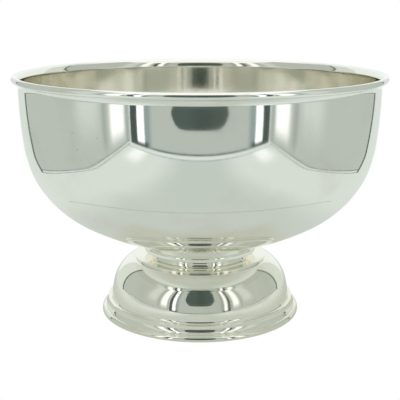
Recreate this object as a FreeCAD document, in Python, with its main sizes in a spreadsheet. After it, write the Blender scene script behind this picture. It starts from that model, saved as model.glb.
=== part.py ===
"""Silver-plated pedestal punch bowl.

A spun bowl with an applied rim stands on a stepped, domed foot. A boss brazed under the bowl holds
a stud, which passes through two collar rings and the top of the foot. A nut inside the foot draws
the stack together.

Lengths are millimetres and angles degrees. The frame has +Z up along the axis of revolution, and
its origin is the centre of the circle that the foot stands on.
"""

import FreeCAD, Part
import Sketcher
import math
import os

DIMENSIONS = {
    # Bowl: tangent arcs from the middle of its underside to the upright wall, then a flared lip
    "sheet": 1.5,
    "bowl_underside": 64.15,
    "base_curve": 236.7,
    "base_sweep": 30.27,
    "belly_curve": 95.8,
    "belly_sweep": 52.95,
    "side_curve": 415.3,
    "lip_crease": 225.35,
    "lip_rise": 4.6,
    "lip_flare": 20.8,
    # Rim: a round bead over a hollow band
    "bead_curve": 2.9,
    "bead_centre_radius": 172.1,
    "bead_centre_height": 228.75,
    "bead_foot_heading": 21.4,
    "bead_end_heading": 240.0,
    "band_foot": 221.0,
    "band_edge": 0.6,
    "band_top_radius": 173.3,
    "band_hollow": 5.9,
    # Neck: two collar rings
    "collar_bore": 44.0,
    "seat_inner_angle": 10.7,
    "seat_outer_angle": 12.35,
    "upper_radius": 55.0,
    "upper_round_foot": 63.65,
    "upper_round": 2.2,
    "upper_top_radius": 53.4,
    "upper_top": 65.65,
    "upper_foot": 60.65,
    "upper_edge": 0.6,
    "cove_top_radius": 47.9,
    "cove_curve": 9.0,
    "cove_foot_radius": 48.2,
    "collar_joint": 54.95,
    "lower_radius": 64.0,
    "lower_round": 1.2,
    "lower_chamfer": 0.4,
    # Foot: a wall that leans in a little, a round shoulder, a flatter crown and a flat top
    "wall_radius": 87.2,
    "skirt_foot": 0.6,
    "wall_heading": 96.5,
    "wall_curve": 115.0,
    "shoulder_heading": 103.3,
    "shoulder_curve": 33.9,
    "crown_heading": 127.6,
    "crown_curve": 41.0,
    "top_heading": 149.8,
    # Base moulding: a small cove against the wall, a ledge, a wide cove, a fillet and a plinth
    "root_cove": 2.6,
    "root_edge": 0.3,
    "ledge": 13.5,
    "ledge_round": 0.6,
    "ledge_radius": 91.2,
    "base_cove": 6.6,
    "base_cove_radius": 91.3,
    "base_cove_top": 11.1,
    "base_cove_heading": 94.0,
    "fillet_heading": 140.0,
    "fillet_foot": 5.1,
    "plinth_round": 4.0,
    "plinth_round_foot": 1.2,
    "base_radius": 97.0,
    "base_edge": 0.3,
    # Fastening
    "stud_radius": 5.0,
    "stud_foot": 32.0,
    "stud_chamfer": 1.0,
    "stud_clearance": 0.3,
    "boss_angle": 4.36,
    "boss_foot": 58.0,
    "boss_socket": 61.0,
    "boss_chamfer": 1.0,
    "plate_radius": 32.0,
    "plate_thickness": 2.5,
    "plate_chamfer": 0.8,
    "washer_radius": 9.1,
    "washer_thickness": 2.2,
    "washer_slit": 1.2,
    "washer_slant": 1.0,
    "nut_corner_radius": 9.815,
    "nut_thickness": 8.0,
    "nut_face_radius": 8.3,
    "nut_chamfer": 0.9,
    "thread_clearance": 0.05,
}

UP = FreeCAD.Vector(0, 0, 1)

doc = FreeCAD.newDocument("punch_bowl")
dims = doc.addObject("Spreadsheet::Sheet", "dims")
for row, (alias, value) in enumerate(DIMENSIONS.items(), start=1):
    dims.set(f"A{row}", alias)
    dims.set(f"B{row}", str(value))
    dims.setAlias(f"B{row}", alias)
doc.recompute()


# ------------------------------------------------------------------------------ bound sizes


class Size:
    """A length, angle or ratio: its number, and the expression that the sheet gives it by."""

    def __init__(self, number, text):
        self.number = number
        self.text = text

    def __add__(self, other):
        other = as_size(other)
        return Size(self.number + other.number, f"({self.text} + {other.text})")

    def __sub__(self, other):
        other = as_size(other)
        return Size(self.number - other.number, f"({self.text} - {other.text})")

    def __mul__(self, other):
        other = as_size(other)
        return Size(self.number * other.number, f"({self.text} * {other.text})")

    def __neg__(self):
        return Size(-self.number, f"(0 - {self.text})")


def as_size(value):
    return value if isinstance(value, Size) else Size(value, str(value))


def dim(alias):
    """The driving dimension with that alias."""
    return Size(DIMENSIONS[alias], f"dims.{alias}")


def sine(angle):
    angle = as_size(angle)
    return Size(math.sin(math.radians(angle.number)), f"sin({angle.text})")


def cosine(angle):
    angle = as_size(angle)
    return Size(math.cos(math.radians(angle.number)), f"cos({angle.text})")


def tangent(angle):
    angle = as_size(angle)
    return Size(math.tan(math.radians(angle.number)), f"tan({angle.text})")


def on_circle(centre, radius, heading):
    """The point of a circle where a path round it runs along heading.

    The radius is positive where the path turns left and negative where it turns right.
    """
    return centre[0] + radius * sine(heading), centre[1] - radius * cosine(heading)


# ------------------------------------------------------------------------------ sketches


class Outline:
    """A closed outline in a sketch on one of the body's planes, with every corner bound.

    It runs from its first point through the others and straight back. A point is two sizes, with
    the signed radius of the arc that leads there as a third where it isn't reached by a line.
    """

    def __init__(self, body, plane, first, *others):
        support = next(f for f in body.Origin.OriginFeatures if f.Role == plane)
        self.sketch = body.newObject("Sketcher::SketchObject", body.Name + "_outline")
        self.sketch.AttachmentSupport = [(support, "")]
        self.sketch.MapMode = "FlatFace"
        corner = first
        joint = None
        for point in others:
            curve, begin, end = self.arc(corner, point) if len(point) == 3 else self.line(corner, point)
            if joint is None:
                home = (curve, begin)
                self.pin(curve, begin, first)
            else:
                self.join(joint, (curve, begin))
            self.pin(curve, end, point)
            joint = (curve, end)
            corner = point
        curve, begin, end = self.line(corner, first)
        self.join(joint, (curve, begin))
        self.join((curve, end), home)

    def join(self, one, other):
        self.sketch.addConstraint(Sketcher.Constraint("Coincident", *one, *other))

    def bind(self, size, *arguments):
        """Adds a constraint whose value follows the sheet."""
        index = self.sketch.addConstraint(Sketcher.Constraint(*arguments, size.number))
        self.sketch.setExpression(f"Constraints[{index}]", size.text)

    def pin(self, curve, end, point):
        """Holds an end of a curve at a point."""
        for kind, axis, size in (("DistanceX", -2, point[0]), ("DistanceY", -1, point[1])):
            size = as_size(size)
            if size.number == 0:
                self.sketch.addConstraint(Sketcher.Constraint("PointOnObject", curve, end, axis))
            elif size.number > 0:
                self.bind(size, kind, -1, 1, curve, end)
            else:
                self.bind(-size, kind, curve, end, -1, 1)

    def line(self, corner, point):
        return self.sketch.addGeometry(Part.LineSegment(vector(corner), vector(point)), False), 1, 2

    def arc(self, corner, point):
        """An arc to a point, which turns left where its radius is positive and right where not."""
        start = vector(corner)
        finish = vector(point)
        radius = as_size(point[2])
        left = radius.number > 0
        chord = finish - start
        rise = math.copysign(math.sqrt(radius.number**2 - chord.Length**2 / 4), radius.number)
        centre = (start + finish) / 2 + FreeCAD.Vector(-chord.y, chord.x, 0) * (rise / chord.Length)
        circle = Part.Circle(centre, UP, abs(radius.number))
        angles = [math.atan2(p.y - centre.y, p.x - centre.x) for p in (start, finish)]
        low, high = angles if left else reversed(angles)
        curve = self.sketch.addGeometry(Part.ArcOfCircle(circle, low, high), False)
        self.bind(radius if left else -radius, "Radius", curve)
        return (curve, 1, 2) if left else (curve, 2, 1)


def vector(point):
    return FreeCAD.Vector(as_size(point[0]).number, as_size(point[1]).number, 0)


def new_body(name, height=None):
    """A body whose own origin stands at a height on the axis."""
    body = doc.addObject("PartDesign::Body", name)
    body.Label = name
    body.Placement = FreeCAD.Placement()
    if height is not None:
        body.setExpression(".Placement.Base.z", height.text)
    return body


def turned(name, *points, height=None):
    """A body turned about the axis from its half-section: radius across, height up."""
    body = new_body(name, height)
    outline = Outline(body, "XZ_Plane", *points)
    turning = body.newObject("PartDesign::Revolution", name + "_turning")
    turning.Profile = outline.sketch
    turning.ReferenceAxis = (outline.sketch, ["V_Axis"])
    turning.Angle = 360
    doc.recompute()
    return body


def cut_through(body, sketch, name):
    """Pockets a sketch right through the body, on the side that its plane's normal points to."""
    solid_volume = body.Shape.Volume
    pocket = body.newObject("PartDesign::Pocket", name)
    pocket.Profile = sketch
    pocket.Type = "ThroughAll"
    pocket.Reversed = True
    doc.recompute()
    if not body.Shape.Volume < solid_volume:
        raise RuntimeError(name + " cuts nothing")


# ------------------------------------------------------------------------------ bowl

SHEET = dim("sheet")

BASE_CENTRE = (as_size(0), dim("bowl_underside") + dim("base_curve"))
BELLY_HEADING = dim("base_sweep")
BELLY_CENTRE = on_circle(BASE_CENTRE, dim("base_curve") - dim("belly_curve"), BELLY_HEADING)
SIDE_HEADING = BELLY_HEADING + dim("belly_sweep")
SIDE_CENTRE = on_circle(BELLY_CENTRE, dim("belly_curve") - dim("side_curve"), SIDE_HEADING)
WALL_RADIUS = SIDE_CENTRE[0] + dim("side_curve")
LIP_BEND = dim("lip_crease") - SHEET * tangent(dim("lip_flare") * 0.5)
LIP_INSIDE = (
    WALL_RADIUS - SHEET + dim("lip_rise") * tangent(dim("lip_flare")),
    dim("lip_crease") + dim("lip_rise"),
)
LIP_OUTSIDE = (
    LIP_INSIDE[0] + SHEET * cosine(dim("lip_flare")),
    LIP_INSIDE[1] - SHEET * sine(dim("lip_flare")),
)


def bowl_face(inset):
    """The corners of the bowl's curve above its lowest point, on a face that far inside it."""
    base = dim("base_curve") - inset
    belly = dim("belly_curve") - inset
    side = dim("side_curve") - inset
    return (
        (*on_circle(BASE_CENTRE, base, BELLY_HEADING), base),
        (*on_circle(BELLY_CENTRE, belly, SIDE_HEADING), belly),
        (SIDE_CENTRE[0] + side, SIDE_CENTRE[1], side),
    )


def under_bowl(angle):
    """The point of the bowl's underside at that angle about the base curve's centre."""
    return on_circle(BASE_CENTRE, dim("base_curve"), angle)


def bowl_shell():
    """One sheet: a deep bowl with an upright wall and a short lip flared out under the bead."""
    outside = bowl_face(as_size(0))
    base, belly, side = bowl_face(SHEET)
    return turned(
        "bowl_shell",
        (0, dim("bowl_underside")),
        *outside,
        (WALL_RADIUS, LIP_BEND),
        LIP_OUTSIDE,
        LIP_INSIDE,
        (WALL_RADIUS - SHEET, dim("lip_crease")),
        side[:2],
        (*belly[:2], -side[2]),
        (*base[:2], -belly[2]),
        (0, dim("bowl_underside") + SHEET, -base[2]),
    )


# ------------------------------------------------------------------------------ rim

BEAD_CENTRE = (dim("bead_centre_radius"), dim("bead_centre_height"))
BEAD_FOOT = on_circle(BEAD_CENTRE, dim("bead_curve"), dim("bead_foot_heading"))
RIM_JOINT = BEAD_FOOT[1]
LIP_AT_JOINT = (WALL_RADIUS + (RIM_JOINT - LIP_BEND) * tangent(dim("lip_flare")), RIM_JOINT)


def rim_bead():
    """The round wire on the bowl's edge, cut away inside to seat on the flared lip."""
    curve = dim("bead_curve")
    return turned(
        "rim_bead",
        LIP_AT_JOINT,
        BEAD_FOOT,
        (BEAD_CENTRE[0] + curve, BEAD_CENTRE[1], curve),
        (*on_circle(BEAD_CENTRE, curve, dim("bead_end_heading")), curve),
        LIP_INSIDE,
        LIP_OUTSIDE,
    )


def rim_band():
    """The hollow moulding under the bead, which fairs into the bowl's wall."""
    return turned(
        "rim_band",
        (WALL_RADIUS, dim("band_foot")),
        (WALL_RADIUS + dim("band_edge"), dim("band_foot")),
        (dim("band_top_radius"), RIM_JOINT, -dim("band_hollow")),
        LIP_AT_JOINT,
        (WALL_RADIUS, LIP_BEND),
    )


# ------------------------------------------------------------------------------ foot

WALL_FOOT = (dim("wall_radius"), dim("ledge") + dim("root_cove"))
WALL_CENTRE = on_circle(WALL_FOOT, -dim("wall_curve"), dim("wall_heading"))
SHOULDER_CENTRE = on_circle(
    WALL_CENTRE, dim("wall_curve") - dim("shoulder_curve"), dim("shoulder_heading")
)
CROWN_CENTRE = on_circle(
    SHOULDER_CENTRE, dim("shoulder_curve") - dim("crown_curve"), dim("crown_heading")
)
STUD_BORE = dim("stud_radius") + dim("stud_clearance")


def foot_face(inset):
    """The corners of the foot's face from its wall to its flat top, on a face that far inside."""
    wall = dim("wall_curve") - inset
    shoulder = dim("shoulder_curve") - inset
    crown = dim("crown_curve") - inset
    return (
        on_circle(WALL_CENTRE, wall, dim("wall_heading")),
        (*on_circle(WALL_CENTRE, wall, dim("shoulder_heading")), wall),
        (*on_circle(SHOULDER_CENTRE, shoulder, dim("crown_heading")), shoulder),
        (*on_circle(CROWN_CENTRE, crown, dim("top_heading")), crown),
    )


FOOT_TOP = foot_face(as_size(0))[3][1]
FOOT_CEILING = foot_face(SHEET)[3][1]


def foot_dome():
    """One sheet: a flat top with the stud's hole, a crown, a round shoulder, a wall and a skirt."""
    outside = foot_face(as_size(0))
    foot, shoulder, crown, edge = foot_face(SHEET)
    return turned(
        "foot_dome",
        (dim("wall_radius"), dim("skirt_foot")),
        *outside,
        (STUD_BORE, FOOT_TOP),
        (STUD_BORE, FOOT_CEILING),
        edge[:2],
        (*crown[:2], -edge[2]),
        (*shoulder[:2], -crown[2]),
        (*foot, -shoulder[2]),
        (foot[0], dim("skirt_foot")),
    )


def base_moulding():
    """The solid ring round the foot's skirt, with a small cove up its wall and a wide one below."""
    root = dim("wall_radius") + dim("root_edge")
    ledge_edge = dim("ledge_radius") - dim("ledge_round")
    cove_top = (dim("base_cove_radius"), dim("base_cove_top"))
    cove_centre = on_circle(cove_top, dim("base_cove"), dim("base_cove_heading"))
    cove_end = on_circle(cove_centre, -dim("base_cove"), dim("fillet_heading"))
    return turned(
        "base_moulding",
        (dim("wall_radius"), 0),
        (dim("base_radius") - dim("base_edge"), 0),
        (dim("base_radius"), dim("base_edge")),
        (dim("base_radius"), dim("plinth_round_foot")),
        (cove_end[0], dim("fillet_foot"), dim("plinth_round")),
        cove_end,
        (*cove_top, -dim("base_cove")),
        (dim("ledge_radius"), dim("ledge") - dim("ledge_round")),
        (ledge_edge, dim("ledge"), dim("ledge_round")),
        (root + dim("root_cove"), dim("ledge")),
        (root, WALL_FOOT[1], -dim("root_cove")),
        WALL_FOOT,
    )


# ------------------------------------------------------------------------------ neck


def upper_collar():
    """The ring under the bowl: a band with a round shoulder over a cove, hollow down the middle."""
    edge = dim("upper_radius") - dim("upper_edge")
    return turned(
        "upper_collar",
        (dim("collar_bore"), dim("collar_joint")),
        (dim("cove_foot_radius"), dim("collar_joint")),
        (dim("cove_top_radius"), dim("upper_foot"), -dim("cove_curve")),
        (edge, dim("upper_foot")),
        (dim("upper_radius"), dim("upper_foot") + dim("upper_edge"), dim("upper_edge")),
        (dim("upper_radius"), dim("upper_round_foot")),
        (dim("upper_top_radius"), dim("upper_top"), dim("upper_round")),
        under_bowl(dim("seat_outer_angle")),
        (*under_bowl(dim("seat_inner_angle")), -dim("base_curve")),
    )


def lower_collar():
    """The wider, thin ring that covers the joint with the foot."""
    return turned(
        "lower_collar",
        (dim("collar_bore"), FOOT_TOP),
        (dim("lower_radius") - dim("lower_chamfer"), FOOT_TOP),
        (dim("lower_radius"), FOOT_TOP + dim("lower_chamfer")),
        (dim("lower_radius"), dim("collar_joint") - dim("lower_round")),
        (dim("lower_radius") - dim("lower_round"), dim("collar_joint"), dim("lower_round")),
        (dim("collar_bore"), dim("collar_joint")),
    )


# ------------------------------------------------------------------------------ fastening


def stud_boss():
    """The turned boss brazed under the bowl, with a blind socket for the stud."""
    edge = under_bowl(dim("boss_angle"))
    return turned(
        "stud_boss",
        (dim("stud_radius"), dim("boss_foot")),
        (edge[0] - dim("boss_chamfer"), dim("boss_foot")),
        (edge[0], dim("boss_foot") + dim("boss_chamfer")),
        edge,
        (0, dim("bowl_underside"), -dim("base_curve")),
        (0, dim("boss_socket")),
        (dim("stud_radius"), dim("boss_socket")),
    )


def centre_stud():
    """The stud that hangs from the boss's socket."""
    return turned(
        "centre_stud",
        (0, dim("stud_foot")),
        (dim("stud_radius") - dim("stud_chamfer"), dim("stud_foot")),
        (dim("stud_radius"), dim("stud_foot") + dim("stud_chamfer")),
        (dim("stud_radius"), dim("boss_socket")),
        (0, dim("boss_socket")),
    )


PLATE_FOOT = FOOT_CEILING - dim("plate_thickness")
WASHER_FOOT = PLATE_FOOT - dim("washer_thickness")
NUT_FOOT = WASHER_FOOT - dim("nut_thickness")


def clamp_plate():
    """The broad disc that spreads the nut's load under the top of the foot."""
    edge = dim("plate_radius") - dim("plate_chamfer")
    return turned(
        "clamp_plate",
        (STUD_BORE, 0),
        (edge, 0),
        (dim("plate_radius"), dim("plate_chamfer")),
        (dim("plate_radius"), dim("plate_thickness")),
        (STUD_BORE, dim("plate_thickness")),
        height=PLATE_FOOT,
    )


def spring_washer():
    """A square-section ring with a slanted slit through one side."""
    body = turned(
        "spring_washer",
        (STUD_BORE, 0),
        (dim("washer_radius"), 0),
        (dim("washer_radius"), dim("washer_thickness")),
        (STUD_BORE, dim("washer_thickness")),
        height=WASHER_FOOT,
    )
    half = dim("washer_slit") * 0.5
    slant = dim("washer_slant")
    slit = Outline(
        body,
        "YZ_Plane",
        (-half - slant, 0),
        (half - slant, 0),
        (half + slant, dim("washer_thickness")),
        (slant - half, dim("washer_thickness")),
    )
    cut_through(body, slit.sketch, "washer_slit")
    return body


def hex_nut():
    """A plain nut with both corners of its hexagon chamfered, and its bore at the thread's size."""
    bore = dim("stud_radius") + dim("thread_clearance")
    chamfer = dim("nut_chamfer")
    top = dim("nut_thickness")
    body = turned(
        "hex_nut",
        (bore, 0),
        (dim("nut_face_radius"), 0),
        (dim("nut_corner_radius"), chamfer),
        (dim("nut_corner_radius"), top - chamfer),
        (dim("nut_face_radius"), top),
        (bore, top),
        height=NUT_FOOT,
    )
    corner = dim("nut_corner_radius")
    flats = Outline(
        body, "XY_Plane", *((corner * cosine(60 * k), corner * sine(60 * k)) for k in range(6))
    )
    around = flats.sketch.addGeometry(
        Part.Circle(FreeCAD.Vector(), UP, 2 * corner.number), False
    )
    flats.join((around, 3), (-1, 1))
    flats.bind(corner * 2, "Radius", around)
    cut_through(body, flats.sketch, "nut_flats")
    return body


PIECES = (
    bowl_shell,
    rim_bead,
    rim_band,
    stud_boss,
    centre_stud,
    upper_collar,
    lower_collar,
    foot_dome,
    base_moulding,
    clamp_plate,
    spring_washer,
    hex_nut,
)


# ------------------------------------------------------------------------------ check and write

bodies = [make() for make in PIECES]
doc.recompute()

for item in doc.Objects:
    if {"Invalid", "Error"} & set(item.State):
        raise RuntimeError(f"{item.Name} failed: {item.State}")
for body in bodies:
    shape = body.Shape
    if shape.isNull() or not shape.isValid() or len(shape.Solids) != 1:
        raise RuntimeError(f"{body.Label} is not one valid solid")

os.makedirs("parts", exist_ok=True)
for body in bodies:
    body.Shape.exportStep(f"parts/{body.Label}.step")
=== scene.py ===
import bpy
import bmesh
import math
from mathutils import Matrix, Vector


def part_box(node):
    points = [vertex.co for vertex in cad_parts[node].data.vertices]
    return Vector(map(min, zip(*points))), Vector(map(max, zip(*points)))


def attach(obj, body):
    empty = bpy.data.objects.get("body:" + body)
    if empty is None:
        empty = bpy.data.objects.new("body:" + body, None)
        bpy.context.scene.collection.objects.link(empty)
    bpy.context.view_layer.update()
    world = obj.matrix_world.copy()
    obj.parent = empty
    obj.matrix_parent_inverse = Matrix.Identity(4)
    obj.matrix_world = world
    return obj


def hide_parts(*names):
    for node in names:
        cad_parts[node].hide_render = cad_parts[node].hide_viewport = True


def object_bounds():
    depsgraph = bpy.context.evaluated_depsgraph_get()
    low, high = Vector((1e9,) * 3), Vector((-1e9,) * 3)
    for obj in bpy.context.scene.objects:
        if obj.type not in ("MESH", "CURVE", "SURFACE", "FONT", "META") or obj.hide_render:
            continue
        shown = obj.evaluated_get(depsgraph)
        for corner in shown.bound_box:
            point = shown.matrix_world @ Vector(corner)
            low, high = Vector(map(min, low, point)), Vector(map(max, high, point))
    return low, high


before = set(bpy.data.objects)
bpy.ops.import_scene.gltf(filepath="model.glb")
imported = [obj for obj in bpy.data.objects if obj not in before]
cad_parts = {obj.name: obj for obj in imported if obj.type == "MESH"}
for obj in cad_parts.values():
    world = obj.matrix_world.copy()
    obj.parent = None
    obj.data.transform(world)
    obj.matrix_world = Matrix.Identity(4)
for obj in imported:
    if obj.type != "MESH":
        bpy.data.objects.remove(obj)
cad_low, cad_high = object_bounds()

MM = 0.001
SEGMENTS = 384
SHARP_ANGLE = 30
FEATHER = 0.02 * MM


# ------------------------------------------------------------------------------ profiles
# A profile is a list of (radius, height) points in metres, sampled along arcs and lines.


def on_circle(centre, radius, heading):
    """The point of a circle where a path round it runs along heading.

    The radius is positive where the path turns left and negative where it turns right.
    """
    angle = math.radians(heading)
    return centre[0] + radius * math.sin(angle), centre[1] - radius * math.cos(angle)


def arc(centre, radius, start, end, count):
    """Points along an arc, both ends included, from one heading to another."""
    steps = [start + (end - start) * k / count for k in range(count + 1)]
    return [on_circle(centre, radius, heading) for heading in steps]


def arc_between(first, last, radius, count):
    """Points of the short arc between two points, which turns left where its radius is positive."""
    (x0, y0), (x1, y1) = first, last
    chord = math.hypot(x1 - x0, y1 - y0)
    rise = math.copysign(math.sqrt(radius**2 - chord**2 / 4), radius)
    centre = (x0 + x1) / 2 - rise * (y1 - y0) / chord, (y0 + y1) / 2 + rise * (x1 - x0) / chord
    direction = math.degrees(math.atan2(y1 - y0, x1 - x0))
    half = math.degrees(math.asin(chord / 2 / radius))
    return arc(centre, radius, direction - half, direction + half, count)


def line(first, last, count):
    """Evenly spaced points along a straight line, both ends included."""
    steps = [k / count for k in range(count + 1)]
    return [tuple(a + (b - a) * k for a, b in zip(first, last)) for k in steps]


def path(*stretches):
    """Joins stretches end to end and drops the points they share."""
    points = []
    for point in (p for stretch in stretches for p in stretch):
        if not points or math.dist(points[-1], point) > 1e-6:
            points.append(point)
    return points


# ------------------------------------------------------------------------------ meshes


def lathe(name, profile, closed=False):
    """A surface turned about the axis. An end of an open profile on the axis is a single point."""
    mesh = bpy.data.meshes.new(name)
    build = bmesh.new()
    rings = []
    for radius, height in profile:
        if radius < 1e-7:
            rings.append([build.verts.new((0, 0, height))])
            continue
        turns = (2 * math.pi * k / SEGMENTS for k in range(SEGMENTS))
        rings.append(
            [build.verts.new((radius * math.cos(t), radius * math.sin(t), height)) for t in turns]
        )
    pairs = list(zip(rings, rings[1:]))
    if closed:
        pairs.append((rings[-1], rings[0]))
    for low, high in pairs:
        for k in range(SEGMENTS):
            n = (k + 1) % SEGMENTS
            corners = [low[k % len(low)], low[n % len(low)], high[n % len(high)], high[k % len(high)]]
            build.faces.new(dict.fromkeys(corners))
    bmesh.ops.recalc_face_normals(build, faces=build.faces)
    build.to_mesh(mesh)
    build.free()
    mesh.shade_smooth()
    mesh.set_sharp_from_angle(angle=math.radians(SHARP_ANGLE))
    piece = bpy.data.objects.new(name, mesh)
    bpy.context.collection.objects.link(piece)
    return piece


def settle(piece, node, slot, *materials):
    """The piece takes a CAD node's place, rides on the body and gets its materials."""
    for material in materials:
        piece.data.materials.append(material)
    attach(piece, "root")
    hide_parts(node)


# ------------------------------------------------------------------------------ materials


class Nodes:
    """A material's node tree, with short calls for the few nodes that it takes."""

    def __init__(self, name):
        self.material = bpy.data.materials.new(name)
        self.material.use_nodes = True
        self.tree = self.material.node_tree
        self.tree.nodes.clear()
        self.output = self.tree.nodes.new("ShaderNodeOutputMaterial")

    def new(self, kind, **inputs):
        node = self.tree.nodes.new(kind)
        for key, value in inputs.items():
            socket = node.inputs[key.replace("_", " ")]
            if isinstance(value, bpy.types.NodeSocket):
                self.tree.links.new(value, socket)
            else:
                socket.default_value = value
        return node

    def ramp(self, factor, low, high, low_value, high_value):
        """Maps a factor from low..high to values, smoothly, and holds it outside."""
        node = self.new("ShaderNodeMapRange", Value=factor, From_Min=low, From_Max=high,
                        To_Min=low_value, To_Max=high_value)
        node.interpolation_type = "SMOOTHSTEP"
        return node.outputs[0]

    def mix(self, factor, one, two):
        node = self.tree.nodes.new("ShaderNodeMix")
        node.data_type = "RGBA"
        self.tree.links.new(factor, node.inputs[0])
        for socket, value in ((node.inputs[6], one), (node.inputs[7], two)):
            if isinstance(value, bpy.types.NodeSocket):
                self.tree.links.new(value, socket)
            else:
                socket.default_value = (*value, 1)
        return node.outputs[2]

    def math(self, operation, one, two):
        node = self.tree.nodes.new("ShaderNodeMath")
        node.operation = operation
        for socket, value in zip(node.inputs, (one, two)):
            if isinstance(value, bpy.types.NodeSocket):
                self.tree.links.new(value, socket)
            else:
                socket.default_value = value
        return node.outputs[0]

    def finish(self, shader):
        self.tree.links.new(shader.outputs[0], self.output.inputs["Surface"])
        return self.material


def silver(name, colour, tarnish, roughness, wear):
    """Polished silver plate: a mirror with polishing scratches, small pits and a thin tarnish."""
    nodes = Nodes(name)
    place = nodes.new("ShaderNodeTexCoord").outputs["Object"]
    haze = nodes.new("ShaderNodeTexNoise", Vector=place, Scale=14.0, Detail=5.0, Roughness=0.6)
    fine = nodes.new("ShaderNodeTexNoise", Vector=place, Scale=900.0, Detail=3.0, Roughness=0.7)
    hazed = nodes.ramp(haze.outputs["Fac"], 0.48, 0.78, 0.0, 1.0)
    spots = nodes.new("ShaderNodeTexVoronoi", Vector=place, Scale=70.0)
    chosen = nodes.ramp(haze.outputs["Fac"], 0.50, 0.62, 0.0, 1.0)
    pitted = nodes.math("MULTIPLY", nodes.ramp(spots.outputs["Distance"], 0.03, 0.07, 0.55, 0.0), chosen)
    drawn = nodes.new("ShaderNodeMapping", Vector=place, Scale=(2.0, 2.0, 90.0))
    rubbed = nodes.new("ShaderNodeTexNoise", Vector=drawn.outputs[0], Scale=18.0, Detail=6.0,
                       Roughness=0.7)
    streaks = nodes.math("MULTIPLY", nodes.ramp(rubbed.outputs["Fac"], 0.56, 0.74, 0.0, 0.5), wear)
    shade = nodes.mix(streaks, nodes.mix(hazed, colour, tarnish), tarnish)
    shade = nodes.mix(pitted, shade, tuple(0.45 * c for c in tarnish))
    rough = nodes.ramp(haze.outputs["Fac"], 0.35, 0.75, roughness, roughness + 0.05 * wear)
    bump = nodes.new("ShaderNodeBump", Height=fine.outputs["Fac"], Strength=0.02 * wear, Distance=0.0002)
    shader = nodes.new("ShaderNodeBsdfPrincipled", Base_Color=shade, Metallic=1.0, Roughness=rough,
                       Normal=bump.outputs["Normal"])
    return nodes.finish(shader)


def steel(name, colour):
    """Zinc-plated steel, slightly mottled."""
    nodes = Nodes(name)
    place = nodes.new("ShaderNodeTexCoord").outputs["Object"]
    mottle = nodes.new("ShaderNodeTexNoise", Vector=place, Scale=350.0, Detail=4.0, Roughness=0.6)
    rough = nodes.ramp(mottle.outputs["Fac"], 0.3, 0.7, 0.28, 0.45)
    dark = tuple(0.7 * c for c in colour)
    shade = nodes.mix(nodes.ramp(mottle.outputs["Fac"], 0.45, 0.75, 0.0, 1.0), colour, dark)
    shader = nodes.new("ShaderNodeBsdfPrincipled", Base_Color=shade, Metallic=1.0, Roughness=rough)
    return nodes.finish(shader)


SILVER = silver("silver_plate", (0.93, 0.93, 0.91), (0.86, 0.84, 0.79), 0.035, 1.0)
# The inside is a darker, warmer copy of the silver: painted warm shade for the light that bounces round
# the hollow, laid over its tarnish, pits and polishing streaks.
SILVER_INSIDE_SHADED = silver("silver_inside", (0.88, 0.87, 0.82), (0.78, 0.75, 0.66), 0.045, 1.6)
SILVER_FOOT = silver("silver_foot", (0.93, 0.915, 0.855), (0.82, 0.79, 0.68), 0.04, 1.4)
FOOT_INSIDE = silver("foot_inside", (0.70, 0.66, 0.58), (0.50, 0.46, 0.38), 0.30, 3.0)
STEEL = steel("zinc_steel", (0.62, 0.61, 0.58))


# ------------------------------------------------------------------------------ bowl

SHEET = 1.5 * MM
BASE_CURVE = 236.7 * MM
BELLY_CURVE = 95.8 * MM
SIDE_CURVE = 415.3 * MM
BELLY_HEADING = 30.27
SIDE_HEADING = 83.22
BOWL_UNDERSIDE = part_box("bowl_shell")[0][2]
BASE_CENTRE = (0.0, BOWL_UNDERSIDE + BASE_CURVE)
BELLY_CENTRE = on_circle(BASE_CENTRE, BASE_CURVE - BELLY_CURVE, BELLY_HEADING)
SIDE_CENTRE = on_circle(BELLY_CENTRE, BELLY_CURVE - SIDE_CURVE, SIDE_HEADING)
WALL = SIDE_CENTRE[0] + SIDE_CURVE
LIP_CREASE = BOWL_UNDERSIDE + 161.2 * MM
LIP_RISE = 4.6 * MM
LIP_FLARE = math.radians(20.8)
LIP_CURVE = 12 * MM
LIP_INSIDE = (WALL - SHEET + LIP_RISE * math.tan(LIP_FLARE), LIP_CREASE + LIP_RISE)
LIP_OUTSIDE = (LIP_INSIDE[0] + SHEET * math.cos(LIP_FLARE), LIP_INSIDE[1] - SHEET * math.sin(LIP_FLARE))
LIP_BEND = LIP_CREASE - SHEET * math.tan(LIP_FLARE / 2)


def bowl_face(inset):
    """The bowl's curve from its lowest point to the upright wall, on a face that far inside it."""
    return path(
        arc(BASE_CENTRE, BASE_CURVE - inset, 0, BELLY_HEADING, 32),
        arc(BELLY_CENTRE, BELLY_CURVE - inset, BELLY_HEADING, SIDE_HEADING, 40),
        arc(SIDE_CENTRE, SIDE_CURVE - inset, SIDE_HEADING, 90, 16),
    )


def make_bowl():
    outside = path(bowl_face(0), line((WALL, SIDE_CENTRE[1]), (WALL, LIP_BEND), 3), [LIP_OUTSIDE])
    crease = (WALL - SHEET, LIP_CREASE)
    lip = arc_between(crease, LIP_INSIDE, -LIP_CURVE, 6)
    inside = path(bowl_face(SHEET), line((WALL - SHEET, SIDE_CENTRE[1]), crease, 3), lip)
    bowl = lathe("bowl", outside + inside[::-1])
    for face in bowl.data.polygons:
        face.material_index = 1 if is_inside_bowl(face) else 0
    settle(bowl, "bowl_shell", "silver_plate", SILVER, SILVER_INSIDE_SHADED)


def is_inside_bowl(face):
    """Whether a face of the bowl looks towards the axis or up."""
    outward = Vector((face.center.x, face.center.y, 0))
    return face.normal.dot(outward.normalized()) - face.normal.z < 0


# ------------------------------------------------------------------------------ rim

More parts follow.
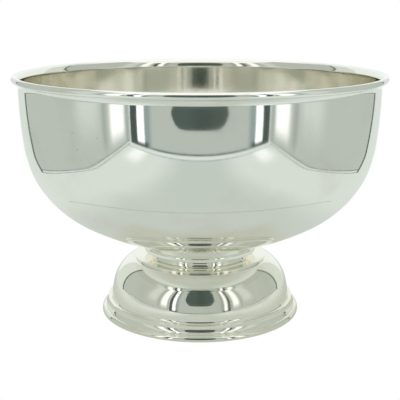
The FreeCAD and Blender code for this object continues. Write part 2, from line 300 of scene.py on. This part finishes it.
BEAD_CURVE = 2.9 * MM
BEAD_CENTRE = (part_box("rim_bead")[1][0] - BEAD_CURVE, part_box("rim_bead")[1][2] - BEAD_CURVE)
BEAD_START = 21.4
BEAD_END = 240
BEAD_FOOT = on_circle(BEAD_CENTRE, BEAD_CURVE, BEAD_START)
LIP_AT_JOINT = (WALL + (BEAD_FOOT[1] - LIP_BEND) * math.tan(LIP_FLARE), BEAD_FOOT[1])
BAND_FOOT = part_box("rim_band")[0][2]
BAND_TOP = (173.3 * MM, BEAD_FOOT[1])
BAND_HOLLOW = 5.7 * MM


def make_rim():
    bead = path(
        [LIP_AT_JOINT, BEAD_FOOT],
        arc(BEAD_CENTRE, BEAD_CURVE, BEAD_START, BEAD_END, 40),
        [LIP_INSIDE, LIP_OUTSIDE],
    )
    settle(lathe("bead", bead, closed=True), "rim_bead", "silver_plate", SILVER)
    band = path(
        [(WALL, BAND_FOOT)],
        arc_between((WALL + FEATHER, BAND_FOOT), BAND_TOP, -BAND_HOLLOW, 20),
        [LIP_AT_JOINT, (WALL, LIP_BEND)],
    )
    settle(lathe("band", band, closed=True), "rim_band", "silver_plate", SILVER)


# ------------------------------------------------------------------------------ neck

BORE = 44 * MM
FOOT_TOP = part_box("foot_dome")[1][2]
COLLAR_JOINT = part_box("lower_collar")[1][2]
SEAT_START = 12.35
SEAT_END = 10.7
UPPER_RADIUS = 55 * MM
UPPER_FOOT = COLLAR_JOINT + 5.7 * MM
UPPER_EDGE = 0.6 * MM
UPPER_ROUND = 2.2 * MM
UPPER_ROUND_FOOT = COLLAR_JOINT + 8.7 * MM
UPPER_TOP = (53.4 * MM, COLLAR_JOINT + 10.7 * MM)
NECK_COVE_FOOT = (48.2 * MM, COLLAR_JOINT)
NECK_COVE_TOP = (47.9 * MM, UPPER_FOOT)
NECK_COVE_CURVE = 9 * MM
LOWER_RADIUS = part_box("lower_collar")[1][0]
LOWER_ROUND = 1.2 * MM
LOWER_CHAMFER = 0.4 * MM


def make_neck():
    upper = path(
        [(BORE, COLLAR_JOINT)],
        arc_between(NECK_COVE_FOOT, NECK_COVE_TOP, -NECK_COVE_CURVE, 12),
        arc_between((UPPER_RADIUS - UPPER_EDGE, UPPER_FOOT), (UPPER_RADIUS, UPPER_FOOT + UPPER_EDGE),
                    UPPER_EDGE, 5),
        arc_between((UPPER_RADIUS, UPPER_ROUND_FOOT), UPPER_TOP, UPPER_ROUND, 10),
        arc(BASE_CENTRE, BASE_CURVE, SEAT_START, SEAT_END, 4),
    )
    settle(lathe("collar_upper", upper, closed=True), "upper_collar", "silver_plate", SILVER_FOOT)
    lower = path(
        [(BORE, FOOT_TOP)],
        [(LOWER_RADIUS - LOWER_CHAMFER, FOOT_TOP), (LOWER_RADIUS, FOOT_TOP + LOWER_CHAMFER)],
        arc_between((LOWER_RADIUS, COLLAR_JOINT - LOWER_ROUND),
                    (LOWER_RADIUS - LOWER_ROUND, COLLAR_JOINT), LOWER_ROUND, 8),
        [(BORE, COLLAR_JOINT)],
    )
    settle(lathe("collar_lower", lower, closed=True), "lower_collar", "silver_plate", SILVER_FOOT)


# ------------------------------------------------------------------------------ foot

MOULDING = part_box("base_moulding")[1]
WALL_CURVE = 115 * MM
SHOULDER_CURVE = 33.9 * MM
CROWN_CURVE = 41 * MM
WALL_HEADING = 96.5
SHOULDER_HEADING = 103.3
CROWN_HEADING = 127.6
TOP_HEADING = 149.8
WALL_FOOT = (87.2 * MM, MOULDING[2])
WALL_CENTRE = on_circle(WALL_FOOT, -WALL_CURVE, WALL_HEADING)
SHOULDER_CENTRE = on_circle(WALL_CENTRE, WALL_CURVE - SHOULDER_CURVE, SHOULDER_HEADING)
CROWN_CENTRE = on_circle(SHOULDER_CENTRE, SHOULDER_CURVE - CROWN_CURVE, CROWN_HEADING)
STUD_BORE = 5.3 * MM
BASE_EDGE = 0.3 * MM
PLINTH_ROUND = 4.0 * MM
PLINTH_ROUND_FOOT = 1.2 * MM
FILLET_FOOT = 5.1 * MM
BASE_COVE_TOP = (91.3 * MM, 11.1 * MM)
BASE_COVE_CURVE = 6.6 * MM
BASE_COVE_START = 140
BASE_COVE_END = 94
LEDGE_RADIUS = 91.2 * MM
LEDGE_ROUND = 0.6 * MM
ROOT_COVE = 2.6 * MM


def foot_face(inset):
    """The foot's face from its wall to its flat top, on a face that far inside it."""
    return path(
        arc(WALL_CENTRE, WALL_CURVE - inset, WALL_HEADING, SHOULDER_HEADING, 16),
        arc(SHOULDER_CENTRE, SHOULDER_CURVE - inset, SHOULDER_HEADING, CROWN_HEADING, 24),
        arc(CROWN_CENTRE, CROWN_CURVE - inset, CROWN_HEADING, TOP_HEADING, 24),
    )


def make_foot():
    outside = foot_face(0)
    inside = foot_face(SHEET)
    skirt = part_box("foot_dome")[0][2]
    sheet = path(
        [(WALL_FOOT[0], skirt)],
        outside,
        [(STUD_BORE, FOOT_TOP), (STUD_BORE, inside[-1][1])],
        inside[::-1],
        [(inside[0][0], skirt)],
    )
    foot = lathe("foot", sheet, closed=True)
    for face in foot.data.polygons:
        face.material_index = 1 if is_inside_foot(face) else 0
    settle(foot, "foot_dome", "silver_plate", SILVER_FOOT, FOOT_INSIDE)
    settle(lathe("moulding", moulding(), closed=True), "base_moulding", "silver_plate", SILVER_FOOT)


def moulding():
    """The base ring's profile: a plinth, a wide cove, a ledge and a small cove up the foot's wall."""
    edge = MOULDING[0]
    ledge = MOULDING[2] - ROOT_COVE
    centre = on_circle(BASE_COVE_TOP, BASE_COVE_CURVE, BASE_COVE_END)
    cove = arc(centre, -BASE_COVE_CURVE, BASE_COVE_START, BASE_COVE_END, 16)
    root = (WALL_FOOT[0] + ROOT_COVE, ledge)
    return path(
        [(WALL_FOOT[0], 0)],
        arc_between((edge - BASE_EDGE, 0), (edge, BASE_EDGE), BASE_EDGE, 3),
        arc_between((edge, PLINTH_ROUND_FOOT), (cove[0][0], FILLET_FOOT), PLINTH_ROUND, 16),
        cove,
        arc_between((LEDGE_RADIUS, ledge - LEDGE_ROUND), (LEDGE_RADIUS - LEDGE_ROUND, ledge),
                    LEDGE_ROUND, 6),
        arc_between(root, (WALL_FOOT[0] + FEATHER, MOULDING[2]), -ROOT_COVE, 10),
        [WALL_FOOT],
    )


def is_inside_foot(face):
    """Whether a face of the foot looks towards the axis or down."""
    outward = Vector((face.center.x, face.center.y, 0))
    return face.normal.dot(outward.normalized()) + face.normal.z < 0


def show_fastening():
    """The pieces that keep their CAD shape get their materials."""
    for node, material in (("stud_boss", SILVER), ("centre_stud", STEEL), ("clamp_plate", STEEL),
                           ("spring_washer", STEEL), ("hex_nut", STEEL)):
        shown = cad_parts[node]
        shown.data.materials.clear()
        shown.data.materials.append(material)


make_bowl()
make_rim()
make_neck()
make_foot()
show_fastening()


# ------------------------------------------------------------------------------ studio

# Lengths here are in rim radii, and colours may be over 1 where a sheet glows.

RIM = cad_high.x
X, Y, Z = 0, 1, 2
ALL = 9


def painted(name, base, *patches):
    """A light surface of one brightness, with soft-edged patches of other ones.

    A patch has a colour and, for some of the axes, the start and end of its span and the softness
    of its edges, all in rim radii.
    """
    nodes = Nodes(name)
    place = nodes.new("ShaderNodeTexCoord").outputs["Object"]
    axes = nodes.new("ShaderNodeSeparateXYZ", Vector=place).outputs
    colour = base
    for tint, spans in patches:
        factor = 1.0
        for axis, (low, high, soft) in spans.items():
            low, high, soft = low * RIM, high * RIM, soft * RIM
            rise = nodes.ramp(axes[axis], low - soft, low + soft, 0.0, 1.0)
            fall = nodes.ramp(axes[axis], high - soft, high + soft, 1.0, 0.0)
            factor = nodes.math("MULTIPLY", nodes.math("MULTIPLY", rise, fall), factor)
        colour = nodes.mix(factor, colour, tint)
    shader = nodes.new("ShaderNodeEmission", Strength=1.0)
    if isinstance(colour, tuple):
        shader.inputs["Color"].default_value = (*colour, 1)
    else:
        nodes.tree.links.new(colour, shader.inputs["Color"])
    return nodes.finish(shader)


def sheet_of(name, corners, material, seen=False):
    """A flat stage panel. The object reflects it, and the camera sees it only where seen is true."""
    mesh = bpy.data.meshes.new(name)
    points = [(x * RIM, y * RIM, z * RIM) for x, y, z in corners]
    mesh.from_pydata(points, [], [tuple(range(len(points)))])
    mesh.materials.append(material)
    panel = bpy.data.objects.new(name, mesh)
    bpy.context.collection.objects.link(panel)
    panel.visible_camera = seen
    panel.visible_glossy = not seen
    panel.visible_diffuse = not seen


SIDE = 2.87
FRONT = -3.71
BACK = 3.0
SIDE_END = 0.95
SIDE_SLANT = 0.09
SEAM_WIDTH = 0.14
SEAM_LEAN = 0.3
SEAM_GAP = 0.005
# The dark ring on the floor in front of the foot is a painted shadow edge, where the bowl's shadow on
# the paper ends.
SHADOW_EDGE_CENTRE = 0.268
SHADOW_EDGE_RADIUS = 1.442
SHADOW_EDGE_WIDTH = 0.012
SHADOW_EDGE_HEIGHT = 0.002
TOP = 5.2
FLOOR_SIZE = 50
OPENING_GAP = 0.01
OPENING = (
    (0.50, 0.53), (0.68, 0.55), (0.82, 0.62), (0.92, 0.74), (0.96, 0.82), (0.93, 0.88), (0.86, 0.91),
    (1.02, 0.95), (1.13, 1.3), (1.2, 1.7), (1.2, 3.8), (1.0, 4.2), (0.6, 4.3),
)
GREY = (0.49, 0.535, 0.485)
SHADE = (0.075, 0.098, 0.09)
LINE = (0.12, 0.15, 0.13)
FRAME = (0.74, 0.82, 0.77)
BRIGHT = (1.25, 1.25, 1.22)


def across(side, near, far, soft):
    """A patch's span along X, from its end nearer the middle to its other end, on one side."""
    return (min(near * side, far * side), max(near * side, far * side), soft)


def front_wall():
    """The tent's front: a grey panel with a light frame and an upright bright strip each side, and
    painted shade beside the strips and along its foot.
    """
    patches = [
        (FRAME, {Z: (-1, 0.05, 0.01)}),
        (SHADE, {Z: (0.03, 0.07, 0.02)}),
    ]
    for side in (-1, 1):
        patches += [
            # Painted shade: the panel darkens beside the bright strips and along its foot.
            ((0.30, 0.37, 0.35), {X: across(side, 1.78, 3.0, 0.12)}),
            (SHADE, {X: across(side, 2.42, 2.82, 0.03)}),
            (SHADE, {X: across(side, 1.9, 2.82, 0.12), Z: (0.03, 0.16, 0.05)}),
            (BRIGHT, {X: across(side, 2.06, 2.42, 0.03), Z: (0.12, ALL, 0.05)}),
            (FRAME, {X: across(side, 2.80, 3.0, 0.01)}),
        ]
    patches.append((FRAME, {Z: (-1, 0.03, 0.01)}))
    return painted("front_sheet", GREY, *patches)


def side_wall():
    """The tent's side: a light grey sheet with a dark seam at its front and soft bright patches."""
    return painted(
        "side_sheet",
        (0.51, 0.56, 0.505),
        ((1.15, 1.17, 1.13), {Y: (-3.35, -2.55, 0.14), Z: (0.30, ALL, 0.2)}),
        ((0.40, 0.45, 0.41), {Y: (-2.35, -2.15, 0.08), Z: (0.2, ALL, 0.2)}),
        ((0.66, 0.71, 0.66), {Y: (-2.0, -1.2, 0.25), Z: (0.6, ALL, 0.4)}),
        ((0.36, 0.41, 0.38), {Y: (-3.6, -3.48, 0.06)}),
        (LINE, {Y: (-3.71, -3.685, 0.008)}),
        (LINE, {Z: (-1, 0.085, 0.008)}),
        (FRAME, {Z: (-1, 0.065, 0.008)}),
        (LINE, {Z: (-1, 0.015, 0.006)}),
    )


def floor_reflected():
    """The tent's floor as the object reflects it: paper with painted shade in front of the foot and
    round it, so that it is brighter at the sides, and painted pools of light under the bright strips.
    The faint painted shadow edge in front of the foot is a sheet of its own.
    """
    return painted(
        "floor_reflected",
        (0.72, 0.775, 0.715),
        # Painted shade: darker in front of the foot and round it, darkest and yellowish under the bowl.
        ((0.57, 0.63, 0.56), {X: (-0.9, 0.9, 0.5), Y: (-3.8, -0.9, 0.3)}),
        ((0.585, 0.63, 0.575), {X: (-1.1, 1.1, 0.4), Y: (-1.35, 1.2, 0.25)}),
        ((0.55, 0.57, 0.47), {X: (-0.62, 0.62, 0.12), Y: (-0.66, 0.7, 0.12)}),
        # Painted pools of light on the paper under the bright strips.
        ((1.0, 1.03, 0.98), {X: (-2.5, -1.9, 0.22), Y: (-3.7, -2.9, 0.3)}),
        ((1.0, 1.03, 0.98), {X: (1.9, 2.5, 0.22), Y: (-3.7, -2.9, 0.3)}),
        (FRAME, {Y: (-3.8, -3.58, 0.01)}),
        (LINE, {Y: (-3.58, -3.555, 0.008)}),
    )


def side_corner(side, y, z):
    """A point of a side wall, which stands upright and runs in towards the back."""
    return (side * (SIDE - SIDE_SLANT * (y - FRONT)), y, z)


def make_side(side, name, material, seam, rear):
    """A side wall up to its leaning back edge, the dark seam on that edge and the sheet behind it."""
    foot = SIDE_END
    head = SIDE_END + SEAM_LEAN * TOP
    sheet_of(name, [side_corner(side, FRONT, 0), side_corner(side, foot, 0),
                    side_corner(side, head, TOP), side_corner(side, FRONT, TOP)], material)
    edge = [side_corner(side, foot - SEAM_WIDTH, 0), side_corner(side, foot, 0),
            side_corner(side, head, TOP), side_corner(side, head - SEAM_WIDTH, TOP)]
    sheet_of(name + "_seam", [(x - SEAM_GAP * side, y, z) for x, y, z in edge], seam)
    sheet_of(name + "_rear", [side_corner(side, foot, 0), side_corner(side, BACK, 0),
                              side_corner(side, BACK, TOP), side_corner(side, head, TOP)], rear)


def shadow_edge_points(radius):
    """Points of a level arc round the front of the foot."""
    turns = [math.radians(-80 + 5 * k) for k in range(33)]
    return [(radius * math.sin(t), SHADOW_EDGE_CENTRE - radius * math.cos(t), SHADOW_EDGE_HEIGHT) for t in turns]


def make_shadow_edge(material):
    """A faint painted shadow edge: a dark ring on the paper in front of the foot, where the bowl's
    shadow ends.
    """
    outer = shadow_edge_points(SHADOW_EDGE_RADIUS + SHADOW_EDGE_WIDTH)
    sheet_of("crease", shadow_edge_points(SHADOW_EDGE_RADIUS) + outer[::-1], material)


def make_opening():
    """The dark opening in the tent's front, with a lighter bar across it."""
    material = painted("opening", (0.085, 0.115, 0.10), ((0.07, 0.095, 0.08), {X: (-0.2, 0.4, 0.3)}),
                       ((0.17, 0.20, 0.17), {Z: (0.905, 0.935, 0.008)}))
    outline = [*OPENING, *((-x, z) for x, z in reversed(OPENING))]
    sheet_of("opening", [(x, FRONT + OPENING_GAP, z) for x, z in outline], material)


def make_studio():
    """A light tent, whose front has one dark opening. The camera sees only the plain floor."""
    side, front, back, top, far = SIDE, FRONT, BACK, TOP, FLOOR_SIZE
    paper = painted("floor_paper", (1.0, 1.0, 1.0))
    sheet_of("floor", [(-far, -far, 0), (far, -far, 0), (far, far, 0), (-far, far, 0)], paper, seen=True)
    floor = [(-side, front, 0), (side, front, 0), (side, back, 0), (-side, back, 0)]
    sheet_of("floor_mirrored", floor, floor_reflected())
    wall = side_wall()
    seam = painted("seam", LINE)
    rear = painted("rear_sheet", (0.72, 0.775, 0.715))
    make_side(-1, "left", wall, seam, rear)
    make_side(1, "right", wall, seam, rear)
    # A painted shadow edge: the dark rim of the bowl's shadow on the paper in front of the foot.
    make_shadow_edge(painted("crease", (0.40, 0.44, 0.40)))
    white = painted("back_sheet", (0.92, 0.96, 0.93), (LINE, {X: (-ALL, -2.85, 0.01)}),
                    (LINE, {X: (2.85, ALL, 0.01)}))
    sheet_of("back", [(-side, back, 0), (side, back, 0), (side, back, top), (-side, back, top)], white)
    ceiling = painted("ceiling", (1.05, 1.06, 1.02))
    sheet_of("ceiling", [(x, y, top) for x, y, _ in floor], ceiling)
    sheet_of("front", [(-side, front, 0), (side, front, 0), (side, front, top), (-side, front, top)],
             front_wall())
    make_opening()


make_studio()

world = bpy.data.worlds.new("world")
bpy.context.scene.world = world
world.use_nodes = True
world.node_tree.nodes["Background"].inputs["Color"].default_value = (1, 1, 1, 1)
world.node_tree.nodes["Background"].inputs["Strength"].default_value = 1.0

CAMERA_DISTANCE = 4.592
CAMERA_HEIGHT = 1.7297
CAMERA_TILT = 76.37

camera = bpy.data.objects.new("camera", bpy.data.cameras.new("camera"))
bpy.context.collection.objects.link(camera)
camera.location = (0, -CAMERA_DISTANCE * RIM, CAMERA_HEIGHT * RIM)
camera.rotation_euler = (math.radians(CAMERA_TILT), 0, 0)
camera.data.sensor_width = 36
camera.data.lens = 76.2
bpy.context.scene.camera = camera
bpy.context.scene.view_settings.view_transform = "Standard"
bpy.context.scene.cycles.glossy_bounces = 12
bpy.context.scene.cycles.max_bounces = 14
